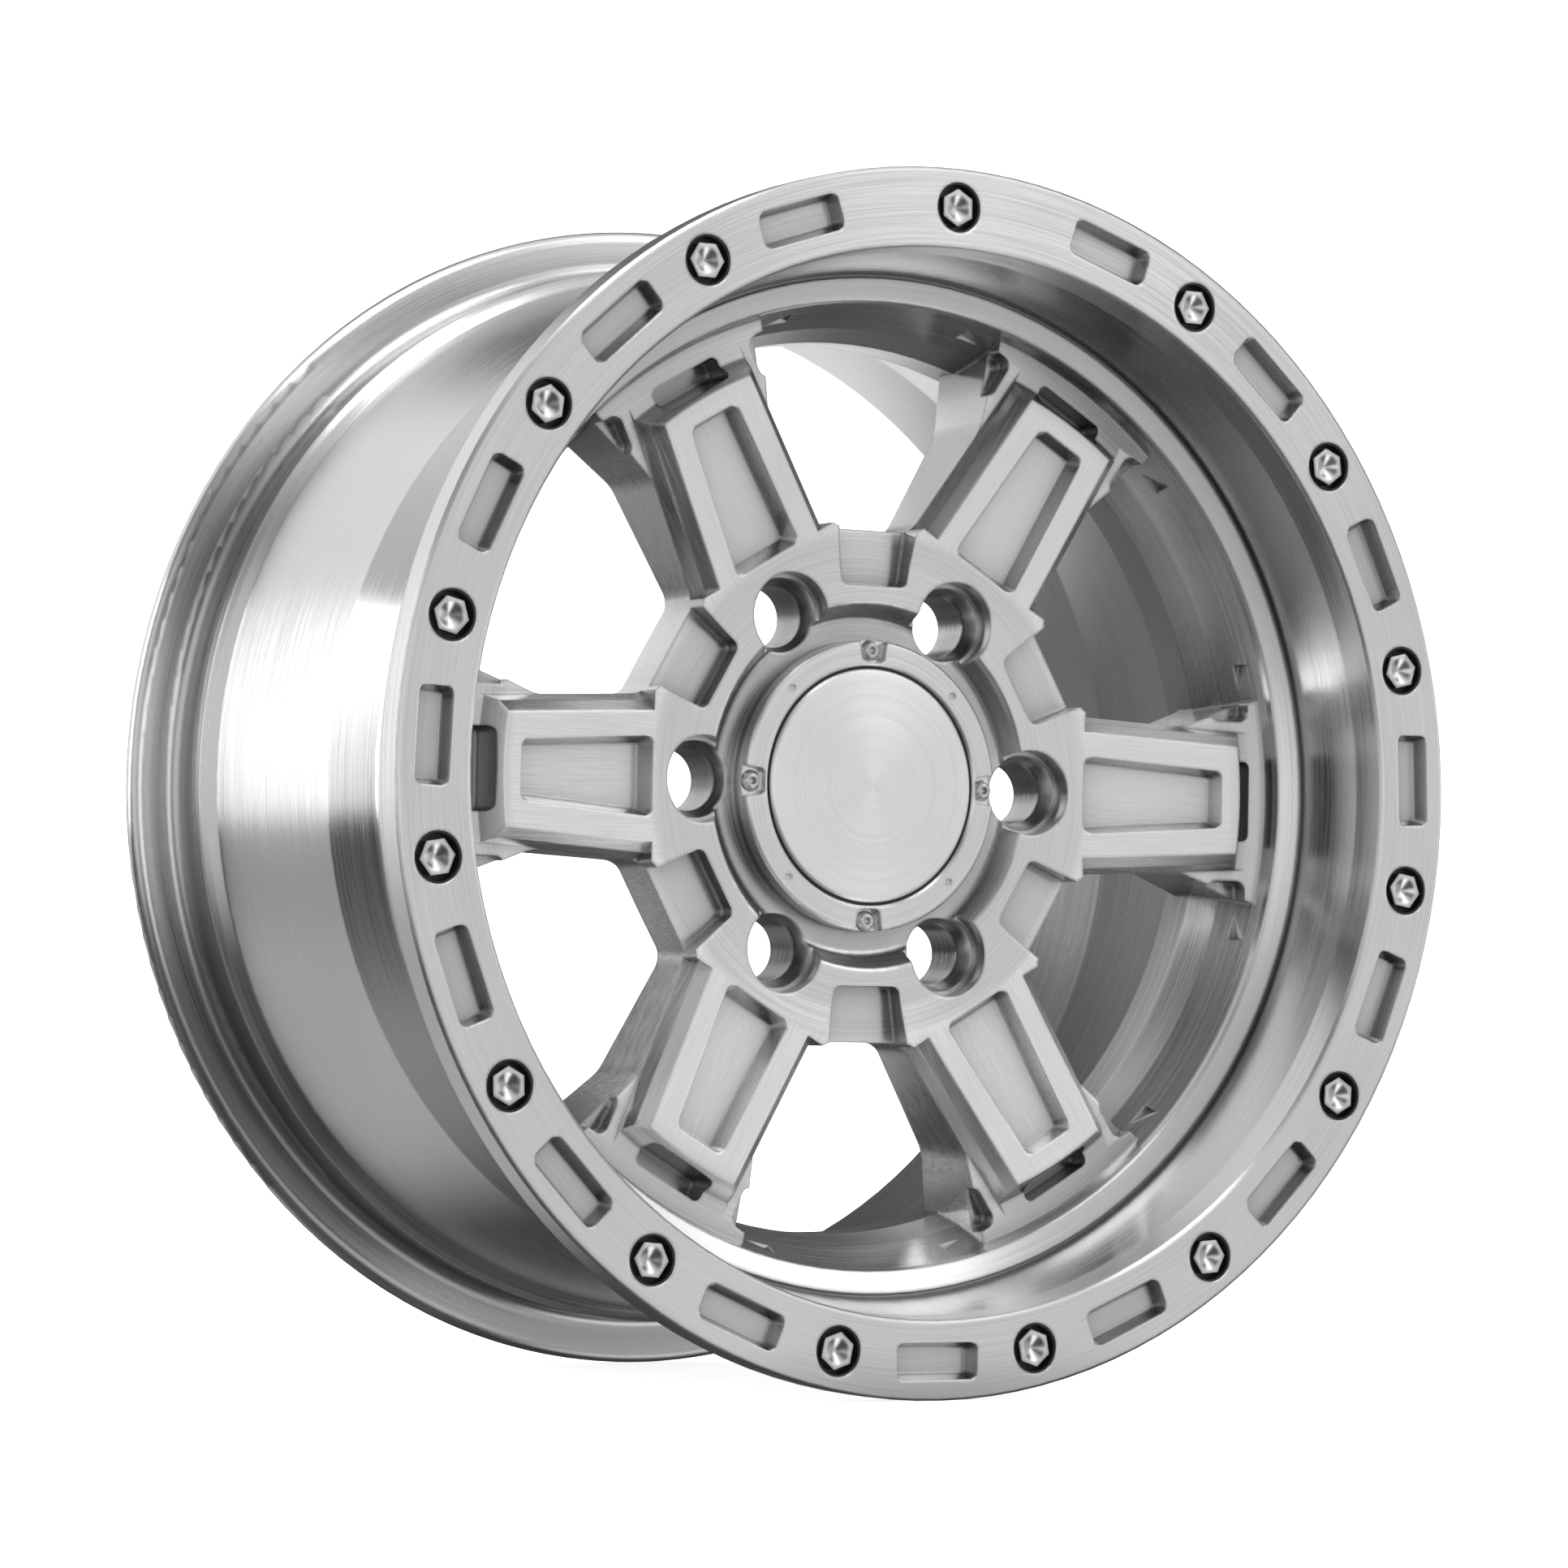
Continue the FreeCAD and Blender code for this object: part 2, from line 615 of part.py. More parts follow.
def make_wheel():
    body = new_body("forged_wheel")
    add_web(body)
    cut_windows(body)
    cut_spoke_bevels(body)
    add_barrel(body)
    cut_lug_holes(body)
    cut_spoke_pockets(body)
    cut_foot_scoops(body)
    cut_spoke_backs(body)
    cut_hub_recesses(body)
    cut_cap_threads(body)
    cut_ring(body)
    return body


def ring_places():
    """The top bolt and the evenly spaced run below it, as turn, count and angle of each run."""
    return (("Top", "0", None, None),
            ("Side", "ring_top_gap / 2", "(ring_bolt_count - 1)", "(%s * (ring_bolt_count - 2))" % STEP))


def make_ring_washers():
    """Black cup washers that line the bolt recesses."""
    body = new_body("ring_washers")
    floor_deep = "(cup_deep - cup_floor)"
    for name, turn, count, angle in ring_places():
        floor_sketch = ring_sketch(body, name + "FloorOutline", floor_deep, turn)
        draw_circle(floor_sketch, "0", "ring_bolt_radius", "cup_radius")
        draw_circle(floor_sketch, "0", "ring_bolt_radius", "(bolt_shank + screw_clearance)")
        floor = pad(body, name + "Floor", floor_sketch, "cup_floor")
        wall_sketch = ring_sketch(body, name + "WallOutline", "cup_inset", turn)
        draw_circle(wall_sketch, "0", "ring_bolt_radius", "cup_radius")
        draw_circle(wall_sketch, "0", "ring_bolt_radius", "(cup_radius - cup_wall)")
        wall = pad(body, name + "Wall", wall_sketch, "(cup_deep - cup_floor - cup_inset)")
        if count is not None:
            around(body, name + "Run", [floor, wall], count, angle)
    return body


def draw_hexagon(sketch, x_text, y_text, across):
    corner = "(%s / 2 / cos(30 deg))" % across
    draw_outline(sketch, [
        ("%s + %s * cos(%d deg)" % (x_text, corner, angle), "%s + %s * sin(%d deg)" % (y_text, corner, angle), None)
        for angle in range(30, 390, 60)])


def make_ring_bolts():
    """Hexagon bolts with a cone dimple in the head."""
    body = new_body("ring_bolts")
    seat = "(cup_deep - cup_floor)"
    for name, turn, count, angle in ring_places():
        head_sketch = ring_sketch(body, name + "HeadOutline", "bolt_inset", turn)
        draw_hexagon(head_sketch, "0", "ring_bolt_radius", "bolt_head")
        head = pad(body, name + "Head", head_sketch, "(%s - bolt_inset)" % seat)
        shank_sketch = ring_sketch(body, name + "ShankOutline", seat, turn)
        draw_circle(shank_sketch, "0", "ring_bolt_radius", "bolt_shank")
        shank = pad(body, name + "Shank", shank_sketch, "(cup_floor + bolt_grip)")
        dimple_sketch = ring_sketch(body, name + "DimpleOutline", "bolt_inset", turn)
        draw_circle(dimple_sketch, "0", "ring_bolt_radius", "bolt_dimple")
        slope = "-atan((bolt_dimple - 0.3) / bolt_dimple_deep)"
        dimple = cut(body, name + "Dimple", dimple_sketch, "bolt_dimple_deep", slope)
        if count is not None:
            around(body, name + "Run", [head, shank, dimple], count, angle)
    return body


def make_bezel():
    """Flat ring that clamps the cap, with four screw notches in its outer edge."""
    body = new_body("cap_bezel")
    rebate = "(bezel_inner + cap_flange_lap + screw_clearance)"
    revolve(body, "Bezel", [
        ("(bezel_inner + bezel_break)", "cap_deep", None),
        ("(bezel_outer - bezel_break)", "cap_deep", None),
        ("bezel_outer", "(cap_deep + bezel_break)", None),
        ("bezel_outer", CAP_SEAT, None),
        (rebate, CAP_SEAT, None),
        (rebate, "(%s - cap_flange_thick)" % CAP_SEAT, None),
        ("bezel_inner", "(%s - cap_flange_thick)" % CAP_SEAT, None),
        ("bezel_inner", "(cap_deep + bezel_break)", None)])
    notch_sketch = new_sketch(body, "NotchOutline", "XZ_Plane", front_offset("cap_deep"))
    draw_outline(notch_sketch, [
        ("-cap_notch_half", "(cap_screw_circle - cap_notch_half)", "2.6"),
        ("cap_notch_half", "(cap_screw_circle - cap_notch_half)", "2.6"),
        ("(cap_notch_half + 1.6)", "(bezel_outer + 3)", None),
        ("(-cap_notch_half - 1.6)", "(bezel_outer + 3)", None)])
    notch = cut(body, "Notch", notch_sketch, "cap_notch_deep")
    hole_sketch = new_sketch(body, "ScrewHoleOutline", "XZ_Plane", front_offset("cap_deep"))
    draw_circle(hole_sketch, "0", "cap_screw_circle", "(cap_screw_shank + screw_clearance)")
    hole = cut(body, "ScrewHole", hole_sketch)
    around(body, "Notches", [notch, hole], "cap_screw_count")
    dot_sketch = new_sketch(body, "DotOutline", "XZ_Plane", front_offset("cap_deep"), "180 / cap_screw_count")
    draw_circle(dot_sketch, "0", "(bezel_inner + bezel_outer) / 2", "cap_dot_radius")
    dot = cut(body, "Dot", dot_sketch, "cap_dot_deep", "-30")
    around(body, "Dots", [dot], "cap_screw_count")
    return body


def make_cap_disc():
    """Slightly domed cap with a thin flange that the bezel clamps."""
    body = new_body("cap_disc")
    edge = "(bezel_inner - cap_gap)"
    revolve(body, "Disc", [
        ("0", "(cap_deep - cap_dome)", None),
        ("%s / 2" % edge, "(cap_deep - cap_dome * 0.75)", None),
        ("(%s - 0.8)" % edge, "cap_deep", None),
        (edge, "(cap_deep + 0.6)", None),
        (edge, "(%s - cap_flange_thick)" % CAP_SEAT, None),
        ("(bezel_inner + cap_flange_lap)", "(%s - cap_flange_thick)" % CAP_SEAT, None),
        ("(bezel_inner + cap_flange_lap)", CAP_SEAT, None),
        ("0", CAP_SEAT, None)])
    return body


def make_cap_seal():
    """Black sealing ring in the gap between cap and bezel."""
    body = new_body("cap_seal")
    revolve(body, "Seal", [
        ("(bezel_inner - cap_gap)", "(cap_deep + seal_sink)", None),
        ("bezel_inner", "(cap_deep + seal_sink)", None),
        ("bezel_inner", "(%s - cap_flange_thick)" % CAP_SEAT, None),
        ("(bezel_inner - cap_gap)", "(%s - cap_flange_thick)" % CAP_SEAT, None)])
    return body


def make_cap_screws():
    """Button-head screws that hold the bezel."""
    body = new_body("cap_screws")
    seat = "(cap_deep + cap_notch_deep)"
    head_sketch = new_sketch(body, "HeadOutline", "XZ_Plane", front_offset("(%s - cap_screw_high)" % seat))
    draw_circle(head_sketch, "0", "cap_screw_circle", "(cap_screw_head * 0.62)")
    head = body.newObject("PartDesign::Pad", "Head")
    head.Profile = head_sketch
    head.setExpression("Length", link("cap_screw_high"))
    head.Reversed = True
    head.setExpression("TaperAngle", link("atan(cap_screw_head * 0.38 / cap_screw_high)"))
    finish_feature(body, head)
    shank_sketch = new_sketch(body, "ShankOutline", "XZ_Plane", front_offset(seat))
    draw_circle(shank_sketch, "0", "cap_screw_circle", "cap_screw_shank")
    shank = pad(body, "Shank", shank_sketch, "(bezel_thick - cap_notch_deep + cap_screw_reach)")
    socket_sketch = new_sketch(body, "SocketOutline", "XZ_Plane", front_offset("(%s - cap_screw_high)" % seat))
    draw_hexagon(socket_sketch, "0", "cap_screw_circle", "(cap_screw_socket * 2)")
    socket = cut(body, "Socket", socket_sketch, "(cap_screw_high * 0.7)")
    around(body, "Screws", [head, shank, socket], "cap_screw_count")
    return body


pieces = [make_wheel(), make_ring_washers(), make_ring_bolts(), make_bezel(), make_cap_disc(), make_cap_seal(),
          make_cap_screws()]
doc.recompute()
for item in doc.Objects:
    if "Invalid" in item.State or "Error" in item.State:
        raise ValueError("%s is in state %s" % (item.Name, item.State))
os.makedirs("parts", exist_ok=True)
for piece in pieces:
    if piece.Shape.isNull() or not piece.Shape.isValid():
        raise ValueError("%s is not a valid shape" % piece.Label)
    piece.Shape.exportStep("parts/%s.step" % piece.Label)
    print(piece.Label, len(piece.Shape.Solids), "solids", round(piece.Shape.Volume / 1000, 1), "cm3")
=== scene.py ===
import math

import bpy
from mathutils import Matrix, Vector


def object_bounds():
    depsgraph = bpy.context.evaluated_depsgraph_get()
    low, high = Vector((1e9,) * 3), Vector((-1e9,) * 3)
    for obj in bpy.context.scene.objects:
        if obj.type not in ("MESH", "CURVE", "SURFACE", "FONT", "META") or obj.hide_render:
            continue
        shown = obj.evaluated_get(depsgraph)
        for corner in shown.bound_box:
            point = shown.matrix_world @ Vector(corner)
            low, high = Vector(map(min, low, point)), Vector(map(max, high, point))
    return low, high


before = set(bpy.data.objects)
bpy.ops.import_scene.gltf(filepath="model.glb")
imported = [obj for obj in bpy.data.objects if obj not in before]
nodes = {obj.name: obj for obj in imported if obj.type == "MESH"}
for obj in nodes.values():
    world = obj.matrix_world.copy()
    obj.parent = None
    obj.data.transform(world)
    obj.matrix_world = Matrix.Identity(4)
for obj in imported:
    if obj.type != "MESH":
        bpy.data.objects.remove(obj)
cad_low, cad_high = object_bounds()

# Camera: viewing angle in degrees, and how far right, down and ahead of it the front face lies, in metres
AZIMUTH = -30.59
ELEVATION = -2.31
ROLL = -1.14
FACE_OFFSET = Vector((0.0586, -0.0007, 2.0251))
LENS = 130.4
SENSOR = 36.0
NEAREST = 0.05
FARTHEST = 50.0

# Places on the wheel in metres: pairs are the start and end of a soft border
AXIS_OUT = (0.0, -1.0, 0.0)
SPOKES = 6
SPOKE_INNER = (0.090, 0.094)
SPOKE_OUTER = (0.152, 0.158)
SPOKE_BACK = (-0.024, -0.020)
TURNED_FROM = (0.160, 0.166)
CAP_MIDDLE = (0.003, 0.006)
BORE_CIRCLE = 0.06985
BORE_EDGE = 0.0161

# Tool marks: how closely the streaks lie, per metre, and the share of the noise that they use
TURNED_ACROSS = 1500.0
TURNED_ALONG = 15.0
BRUSHED_ACROSS = 2600.0
BRUSHED_ALONG = 30.0
BRUSHED_DEPTH = 300.0
BORED_ACROSS = 900.0
STREAK_RANGE = (0.3, 0.7)
CLOUD_RANGE = (0.35, 0.65)
MARK_STRENGTH = 0.2

# Metal: rounding of its edges in metres, and the pull of the streaks on the highlights
EDGE_ROUND = 0.0016
EDGE_SAMPLES = 3
DRIFT_LIMIT = 0.3
GRAIN = 0.6
GRAIN_TURN = 0.25
COOL = 1.004
WHEEL_TONES = (0.0, 0.92)
WHEEL_GLOSS = (0.17, 0.28)
WHEEL_MARK = 0.000010
WHEEL_STREAKS = (0.06, 0.40)
WHEEL_CLOUD = (0.0, 0.15)
WHEEL_CLOUD_SCALE = 11.0
SPOKE_LIGHTER = 0.4
PROUD_RANGE = (0.66, 0.96)
TURNED_MARK = 0.000010
TURNED_STREAKS = (0.0, 0.75)
TURNED_CLOUD = (0.0, 0.25)
TURNED_CLOUD_SCALE = 30.0
STEEL_TONES = (0.55, 0.75)
STEEL_GLOSS = (0.16, 0.26)
STEEL_MARK = 0.000008
STEEL_GRIT = 2500.0

# Painted shade in hollows: how far it reaches, and how dark it makes the metal there
HOLLOW_SHADE_REACH = 0.022
HOLLOW_SHADE_DARK = 0.45
HOLLOW_SHADE_RANGE = (0.40, 0.97)
HOLLOW_SHADE_SAMPLES = 4

# Rubber and stage
RUBBER_DARK = (0.006, 0.006, 0.007)
RUBBER_LIGHT = (0.014, 0.014, 0.015)
RUBBER_GRIT = 1200.0
STAGE_DARK = (0.90, 0.90, 0.90)
STAGE_LIGHT = (0.93, 0.93, 0.93)
STAGE_CLOUD_SCALE = 0.6
STAGE_GLOW = 0.80
MATT = 0.9
WHITE = (1.0, 1.0, 1.0)
BLACK = (0.0, 0.0, 0.0)

# Floor and wall, in metres
SWEEP_HALF = 6.0
SWEEP_FRONT = -6.0
SWEEP_BEND_FROM = 1.2
SWEEP_BEND = 0.8
SWEEP_STEPS = 12
SWEEP_TOP = 4.0

# Screen behind the wheel, seen only in reflections, where it puts painted shade and a painted reflection
# into the barrel: size and place in metres, and how its glow grows from the middle upwards
FLAG_RADIUS = 0.2
FLAG_BEHIND = 0.19
FLAG_CORNERS = 48
FLAG_DARK = (0.07, 0.07, 0.07)
FLAG_BRIGHT_FROM = (0.03, 0.11)
FLAG_BRIGHT = (0.0, 0.95)
FLAG_CLOUD_FROM = (-0.10, 0.0)
FLAG_CLOUD_RANGE = (0.4, 0.6)
FLAG_CLOUD = (0.02, 0.16)
FLAG_CLOUD_SCALE = 14.0

# Dim surroundings, and their soft bright fields: direction, cosine at the rim and where full, brightness
SHADE = 0.10
SHADE_SPREAD = (0.6, 1.4)
SHADE_RANGE = (0.38, 0.62)
SHADE_SCALE = 2.3
FIELDS = (
    ((0.50, -0.86, 0.05), (0.62, 0.95), 0.66),
    ((0.00, -0.10, 1.00), (0.55, 0.95), 0.70),
    ((-0.36, 0.86, 0.36), (0.82, 0.96), 0.90),
    ((-0.35, 0.86, -0.40), (0.86, 0.97), 0.42),
    ((-0.90, -0.30, 0.15), (0.80, 0.97), 0.75),
    ((0.51, -0.45, 0.73), (0.95, 0.99), 1.6),
    ((0.51, -0.45, -0.73), (0.95, 0.99), 1.6),
    ((-0.24, -0.95, 0.04), (0.96, 0.99), 1.6),
    ((0.96, -0.24, 0.04), (0.96, 0.99), 1.6),
)

# Lamps that shine at the wheel's middle: name, place, width, height, watts
LAMPS = (
    ("front_right", (1.9, -2.0, 1.3), 1.6, 0.8, 7.0),
    ("overhead", (-0.4, -0.2, 2.2), 2.4, 1.0, 16.0),
    ("left_strip", (-2.0, 1.6, 0.5), 0.5, 1.4, 10.0),
)


class Graph:
    """Short calls for building one node tree."""

    def __init__(self, tree):
        self.tree = tree
        tree.nodes.clear()

    def put(self, kind, **settings):
        """Add a node, with its settings."""
        node = self.tree.nodes.new(kind)
        for name, value in settings.items():
            setattr(node, name, value)
        return node

    def join(self, value, socket):
        """Link another node's output to a socket, or give the socket a plain value."""
        if hasattr(value, "is_linked"):
            self.tree.links.new(value, socket)
        else:
            socket.default_value = value

    def fill(self, node, values):
        """Join values to a node's first sockets, in order."""
        for socket, value in zip(node.inputs, values):
            self.join(value, socket)

    def position(self):
        """Place on the piece, in metres."""
        return self.put("ShaderNodeTexCoord").outputs["Object"]

    def split(self, vector):
        """The three parts of a vector."""
        node = self.put("ShaderNodeSeparateXYZ")
        self.join(vector, node.inputs[0])
        return node.outputs

    def vector(self, x, y, z):
        node = self.put("ShaderNodeCombineXYZ")
        self.fill(node, (x, y, z))
        return node.outputs[0]

    def math(self, operation, first, second=0.0):
        node = self.put("ShaderNodeMath", operation=operation)
        self.fill(node, (first, second))
        return node.outputs[0]

    def plus(self, first, second):
        return self.math("ADD", first, second)

    def minus(self, first, second):
        return self.math("SUBTRACT", first, second)

    def times(self, first, second):
        return self.math("MULTIPLY", first, second)

    def reach(self, first, second):
        """Length of the long side of a right triangle."""
        return self.math("SQRT", self.plus(self.times(first, first), self.times(second, second)))

    def vector_math(self, operation, first, second=None):
        node = self.put("ShaderNodeVectorMath", operation=operation)
        self.join(first, node.inputs[0])
        if second is not None:
            self.join(second, node.inputs["Scale"] if operation == "SCALE" else node.inputs[1])
        return node.outputs["Value" if operation == "DOT_PRODUCT" else "Vector"]

    def span(self, value, given, wanted):
        """Value carried from one range to another, and held at its ends."""
        node = self.put("ShaderNodeMapRange", clamp=True)
        self.fill(node, (value, *given, *wanted))
        return node.outputs["Result"]

    def mix(self, kind, amount, first, second):
        """Blend of two values, where kind is FLOAT, VECTOR or RGBA."""
        node = self.put("ShaderNodeMix", data_type=kind)
        order = ("FLOAT", "VECTOR", "RGBA").index(kind)
        self.join(amount, node.inputs[0])
        self.join(first, node.inputs[2 + 2 * order])
        self.join(second, node.inputs[3 + 2 * order])
        return node.outputs[order]

    def tint(self, amount, dark, light):
        return self.mix("RGBA", amount, (*dark, 1.0), (*light, 1.0))

    def noise(self, place, scale, detail=2.0, fourth=None):
        """Soft noise, in four dimensions where a fourth place is given."""
        node = self.put("ShaderNodeTexNoise", noise_dimensions="3D" if fourth is None else "4D")
        self.join(place, node.inputs["Vector"])
        if fourth is not None:
            self.join(fourth, node.inputs["W"])
        node.inputs["Scale"].default_value = scale
        node.inputs["Detail"].default_value = detail
        return node.outputs["Fac"]


class Places:
    """Where a point lies about the wheel axis, and the direction that runs round the axis there."""

    def __init__(self, graph):
        self.position = graph.position()
        self.x, self.y, self.z = graph.split(self.position)
        self.radius = graph.reach(self.x, self.z)
        self.angle = graph.math("ARCTAN2", self.z, self.x)
        sine = graph.math("SINE", self.angle)
        self.around = graph.vector(graph.times(sine, -1.0), 0.0, graph.math("COSINE", self.angle))


def new_material(name):
    material = bpy.data.materials.new(name)
    material.use_nodes = True
    graph = Graph(material.node_tree)
    surface = graph.put("ShaderNodeBsdfPrincipled")
    output = graph.put("ShaderNodeOutputMaterial")
    graph.join(surface.outputs[0], output.inputs["Surface"])
    return material, graph, surface


def turned_lines(graph, at):
    """Streaks round the axis, as a lathe tool leaves them."""
    place = graph.vector(graph.times(at.radius, TURNED_ACROSS), graph.times(at.y, TURNED_ACROSS),
                         graph.times(at.x, TURNED_ALONG))
    return graph.noise(place, 1.0, 3.0, graph.times(at.z, TURNED_ALONG))


def spoke_places(graph, at):
    """Distance out along the nearest spoke and aside from it, and the spoke's direction."""
    share = math.tau / SPOKES
    middle = graph.math("SNAP", graph.plus(at.angle, share / 2.0), share)
    turn = graph.minus(at.angle, middle)
    out = graph.times(at.radius, graph.math("COSINE", turn))
    aside = graph.times(at.radius, graph.math("SINE", turn))
    outward = graph.vector(graph.math("COSINE", middle), 0.0, graph.math("SINE", middle))
    return out, aside, outward


def brushed_lines(graph, at, out, aside):
    """Streaks that run out along each spoke."""
    place = graph.vector(graph.times(out, BRUSHED_ALONG), graph.times(at.y, BRUSHED_DEPTH),
                         graph.times(aside, BRUSHED_ACROSS))
    return graph.noise(place, 1.0, 3.0)


def bored_lines(graph, at, out, aside):
    """Rings round the axis of each nut bore, and one where the bore is."""
    reach = graph.reach(graph.minus(out, BORE_CIRCLE), aside)
    place = graph.vector(graph.times(reach, BORED_ACROSS), graph.times(at.y, BORED_ACROSS), 0.0)
    return graph.noise(place, 1.0, 2.0), graph.math("LESS_THAN", reach, BORE_EDGE)


def spoke_mask(graph, at):
    """One on the spokes, nought on the hub, the lip and the barrel."""
    inner = graph.span(at.radius, SPOKE_INNER, (0.0, 1.0))
    outer = graph.span(at.radius, SPOKE_OUTER, (1.0, 0.0))
    front = graph.span(at.y, SPOKE_BACK, (1.0, 0.0))
    return graph.times(graph.times(inner, outer), front)


def rounded_normal(graph):
    """Normal with slightly rounded edges."""
    edges = graph.put("ShaderNodeBevel", samples=EDGE_SAMPLES)
    edges.inputs["Radius"].default_value = EDGE_ROUND
    return edges.outputs[0]


def true_normal(graph, normal, around, turned):
    """Normal kept square to the run of the turned surfaces, where turned is one."""
    drift = graph.vector_math("DOT_PRODUCT", normal, around)
    small = graph.math("LESS_THAN", graph.math("ABSOLUTE", drift), DRIFT_LIMIT)
    amount = graph.times(graph.times(drift, small), turned)
    sideways = graph.vector_math("SCALE", around, amount)
    return graph.vector_math("NORMALIZE", graph.vector_math("SUBTRACT", normal, sideways))


def painted_hollow_shade(graph):
    """Painted shade: one on proud surfaces, less in hollows and corners, from an occlusion term that darkens
    the metal's colour.
    """
    near = graph.put("ShaderNodeAmbientOcclusion", samples=HOLLOW_SHADE_SAMPLES)
    near.inputs["Distance"].default_value = HOLLOW_SHADE_REACH
    return graph.span(near.outputs["AO"], HOLLOW_SHADE_RANGE, (HOLLOW_SHADE_DARK, 1.0))


def finish_metal(graph, surface, shade, lines, normal, tones, gloss, mark):
    """Bare metal: tones and gloss are the ends of its grey and its roughness, mark is the streaks' depth."""
    surface.inputs["Metallic"].default_value = 1.0
    dark, light = ((grey, grey, grey * COOL) for grey in tones)
    graph.join(graph.tint(shade, dark, light), surface.inputs["Base Color"])
    graph.join(graph.span(lines, STREAK_RANGE, gloss), surface.inputs["Roughness"])
    bump = graph.put("ShaderNodeBump")
    bump.inputs["Strength"].default_value = MARK_STRENGTH
    bump.inputs["Distance"].default_value = mark
    graph.join(normal, bump.inputs["Normal"])
    graph.join(lines, bump.inputs["Height"])
    graph.join(bump.outputs[0], surface.inputs["Normal"])


def add_grain(graph, surface, direction):
    """Highlights spread across the run of the streaks."""
    graph.join(direction, surface.inputs["Tangent"])
    surface.inputs["Anisotropic"].default_value = GRAIN
    surface.inputs["Anisotropic Rotation"].default_value = GRAIN_TURN


def wheel_metal():
    """Turned metal with brushed spokes, bored nut seats and painted shade in its hollows."""
    material, graph, surface = new_material("wheel_metal")
    at = Places(graph)
    out, aside, outward = spoke_places(graph, at)
    spoke = spoke_mask(graph, at)
    bored, bore = bored_lines(graph, at, out, aside)
    lines = graph.mix("FLOAT", spoke, turned_lines(graph, at), brushed_lines(graph, at, out, aside))
    lines = graph.mix("FLOAT", bore, lines, bored)
    cloud = graph.span(graph.noise(at.position, WHEEL_CLOUD_SCALE), CLOUD_RANGE, WHEEL_CLOUD)
    shade = graph.plus(graph.span(lines, STREAK_RANGE, WHEEL_STREAKS), graph.times(spoke, SPOKE_LIGHTER))
    proud = graph.span(graph.plus(shade, cloud), (0.0, 1.0), PROUD_RANGE)
    # Painted shade: the metal's colour is darkened in hollows and corners by an occlusion term
    shade = graph.times(proud, painted_hollow_shade(graph))
    turned = graph.span(at.radius, TURNED_FROM, (0.0, 1.0))
    normal = true_normal(graph, rounded_normal(graph), at.around, turned)
    finish_metal(graph, surface, shade, lines, normal, WHEEL_TONES, WHEEL_GLOSS, WHEEL_MARK)
    add_grain(graph, surface, graph.mix("VECTOR", spoke, at.around, outward))
    return material


def turned_metal(name, tones, gloss):
    """Metal turned all over, with a plain normal in the middle, where the cap comes to a point."""
    material, graph, surface = new_material(name)
    at = Places(graph)
    lines = turned_lines(graph, at)
    cloud = graph.span(graph.noise(at.position, TURNED_CLOUD_SCALE), CLOUD_RANGE, TURNED_CLOUD)
    shade = graph.plus(graph.span(lines, STREAK_RANGE, TURNED_STREAKS), cloud)
    outside = graph.span(at.radius, CAP_MIDDLE, (0.0, 1.0))
    normal = graph.mix("VECTOR", outside, AXIS_OUT, rounded_normal(graph))
    normal = true_normal(graph, normal, at.around, 1.0)
    finish_metal(graph, surface, shade, lines, normal, tones, gloss, TURNED_MARK)
    add_grain(graph, surface, at.around)
    return material


def plain_steel(name):
    """Steel with a fine grit and no grain."""
    material, graph, surface = new_material(name)
    grit = graph.noise(graph.position(), STEEL_GRIT)
    finish_metal(graph, surface, grit, grit, rounded_normal(graph), STEEL_TONES, STEEL_GLOSS, STEEL_MARK)
    return material


def black_rubber(name, gloss):
    material, graph, surface = new_material(name)
    grit = graph.noise(graph.position(), RUBBER_GRIT)
    graph.join(graph.tint(grit, RUBBER_DARK, RUBBER_LIGHT), surface.inputs["Base Color"])
    graph.join(graph.span(grit, STREAK_RANGE, gloss), surface.inputs["Roughness"])
    return material


def white_stage():
    """Nearly white floor that glows a little."""
    material, graph, surface = new_material("stage_white")
    cloud = graph.noise(graph.position(), STAGE_CLOUD_SCALE)
    graph.join(graph.tint(cloud, STAGE_DARK, STAGE_LIGHT), surface.inputs["Base Color"])
    surface.inputs["Roughness"].default_value = MATT
    surface.inputs["Emission Color"].default_value = (*WHITE, 1.0)
    surface.inputs["Emission Strength"].default_value = STAGE_GLOW
    return material


def flag_painted_reflection():
    """Glow of the screen: dim and cloudy, and bright towards its top; painted shade and a painted
    reflection, which only the metal shows.
    """
    material, graph, surface = new_material("flag_painted_reflection")
    position = graph.position()
    height = graph.split(position)[1]
    cloud = graph.span(graph.noise(position, FLAG_CLOUD_SCALE), FLAG_CLOUD_RANGE, FLAG_CLOUD)
    cloud = graph.times(cloud, graph.span(height, FLAG_CLOUD_FROM, (0.0, 1.0)))
    glow = graph.plus(graph.span(height, FLAG_BRIGHT_FROM, FLAG_BRIGHT), cloud)
    graph.join(graph.tint(glow, FLAG_DARK, WHITE), surface.inputs["Emission Color"])
    surface.inputs["Emission Strength"].default_value = 1.0
    surface.inputs["Base Color"].default_value = (*BLACK, 1.0)
    surface.inputs["Roughness"].default_value = MATT
    return material


def dress_pieces():
    looks = {
        "forged_wheel": wheel_metal(),
        "ring_bolts": plain_steel("bolt_steel"),
        "ring_washers": black_rubber("washer_black", (0.35, 0.5)),
        "cap_bezel": turned_metal("bezel_metal", (0.66, 0.80), (0.16, 0.26)),
        "cap_disc": turned_metal("cap_metal", (0.78, 0.88), (0.22, 0.30)),
        "cap_seal": black_rubber("seal_black", (0.5, 0.7)),
        "cap_screws": plain_steel("screw_steel"),
    }
    for name, look in looks.items():
        materials = nodes[name].data.materials
        materials.clear()
        materials.append(look)


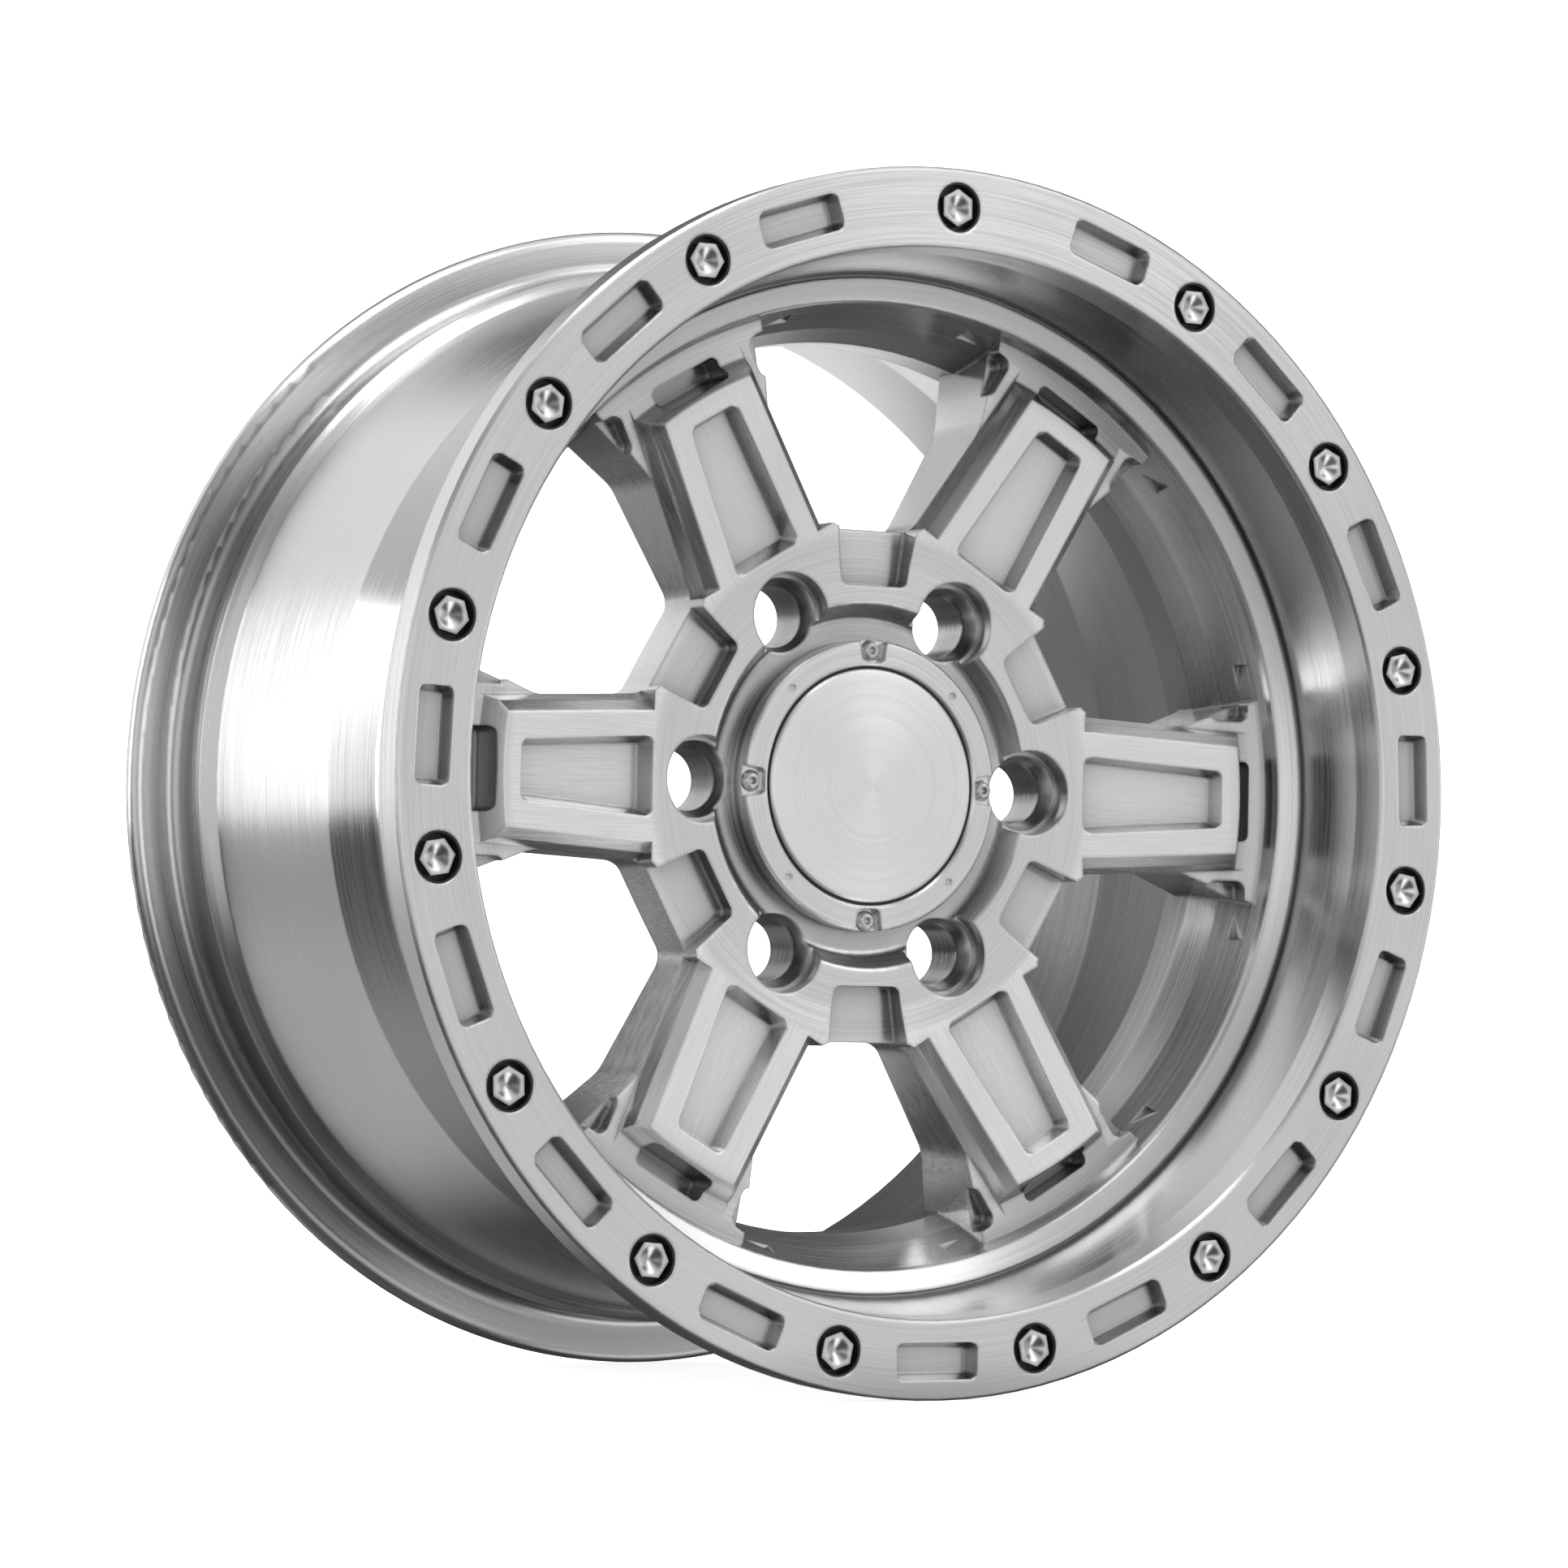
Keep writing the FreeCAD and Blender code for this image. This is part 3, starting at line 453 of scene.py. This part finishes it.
def sweep_profile():
    """Depth and height along the floor, round the bend and up the wall."""
    floor = cad_low.z
    profile = [(SWEEP_FRONT, floor), (SWEEP_BEND_FROM, floor)]
    for step in range(1, SWEEP_STEPS + 1):
        turn = math.radians(90.0 * step / SWEEP_STEPS)
        depth = SWEEP_BEND_FROM + SWEEP_BEND * math.sin(turn)
        profile.append((depth, floor + SWEEP_BEND - SWEEP_BEND * math.cos(turn)))
    profile.append((SWEEP_BEND_FROM + SWEEP_BEND, SWEEP_TOP))
    return profile


def make_sweep():
    """A floor that curves up into a wall behind the wheel, kept out of the metal's reflections."""
    profile = sweep_profile()
    points = [(x, y, z) for x in (-SWEEP_HALF, SWEEP_HALF) for y, z in profile]
    count = len(profile)
    faces = [(i, i + 1, count + i + 1, count + i) for i in range(count - 1)]
    mesh = bpy.data.meshes.new("sweep")
    mesh.from_pydata(points, [], faces)
    for face in mesh.polygons:
        face.use_smooth = True
    mesh.materials.append(white_stage())
    sweep = bpy.data.objects.new("sweep", mesh)
    bpy.context.scene.collection.objects.link(sweep)
    sweep.visible_glossy = False


def make_flag():
    """Dim round screen behind the wheel, which only the metal's reflections show: a glowing sheet that puts
    painted shade and a painted reflection into the barrel.
    """
    bpy.ops.mesh.primitive_circle_add(vertices=FLAG_CORNERS, radius=FLAG_RADIUS, fill_type="NGON",
                                      location=(0.0, FLAG_BEHIND, 0.0),
                                      rotation=(math.radians(90.0), 0.0, 0.0))
    flag = bpy.context.object
    flag.name = "flag"
    flag.data.materials.append(flag_painted_reflection())
    flag.visible_camera = False
    flag.visible_shadow = False
    flag.visible_diffuse = False


def set_world():
    """Dim surroundings with a few soft bright fields, as screens round a studio table."""
    world = bpy.data.worlds.new("studio")
    bpy.context.scene.world = world
    world.use_nodes = True
    graph = Graph(world.node_tree)
    direction = graph.put("ShaderNodeTexCoord").outputs["Generated"]
    dim = tuple(SHADE * share for share in SHADE_SPREAD)
    light = graph.span(graph.noise(direction, SHADE_SCALE), SHADE_RANGE, dim)
    for toward, border, bright in FIELDS:
        middle = graph.vector(*Vector(toward).normalized())
        near = graph.vector_math("DOT_PRODUCT", direction, middle)
        field = graph.span(near, border, (0.0, bright))
        field.node.interpolation_type = "SMOOTHSTEP"
        light = graph.plus(light, field)
    background = graph.put("ShaderNodeBackground")
    background.inputs["Color"].default_value = (*WHITE, 1.0)
    graph.join(light, background.inputs["Strength"])
    output = graph.put("ShaderNodeOutputWorld")
    graph.join(background.outputs[0], output.inputs["Surface"])


def add_lamp(name, place, wide, high, power):
    """Soft rectangular lamp, turned to the wheel's middle."""
    light = bpy.data.lights.new(name, "AREA")
    light.shape = "RECTANGLE"
    light.size = wide
    light.size_y = high
    light.energy = power
    lamp = bpy.data.objects.new(name, light)
    bpy.context.scene.collection.objects.link(lamp)
    lamp.location = place
    lamp.rotation_mode = "QUATERNION"
    lamp.rotation_quaternion = (-Vector(place)).to_track_quat("-Z", "Y")


def make_camera():
    """Camera at the photo's viewing angle, framed as the photo is."""
    azimuth, elevation, roll = (math.radians(angle) for angle in (AZIMUTH, ELEVATION, ROLL))
    flat = math.cos(elevation)
    back = Vector((math.sin(azimuth) * flat, -math.cos(azimuth) * flat, math.sin(elevation)))
    forward = -back
    level = forward.cross(Vector((0.0, 0.0, 1.0))).normalized()
    below = forward.cross(level)
    right = math.cos(roll) * level + math.sin(roll) * below
    down = -math.sin(roll) * level + math.cos(roll) * below
    face_middle = Vector((0.0, cad_low.y, 0.0))
    place = face_middle - Matrix((right, down, forward)).transposed() @ FACE_OFFSET
    lens = bpy.data.cameras.new("photo_view")
    lens.lens = LENS
    lens.sensor_width = SENSOR
    lens.clip_start = NEAREST
    lens.clip_end = FARTHEST
    camera = bpy.data.objects.new("photo_view", lens)
    bpy.context.scene.collection.objects.link(camera)
    turn = Matrix((right, -down, -forward)).transposed().to_4x4()
    camera.matrix_world = Matrix.Translation(place) @ turn
    bpy.context.scene.camera = camera


dress_pieces()
make_sweep()
make_flag()
set_world()
for lamp in LAMPS:
    add_lamp(*lamp)
make_camera()
bpy.context.scene.view_settings.view_transform = "Standard"
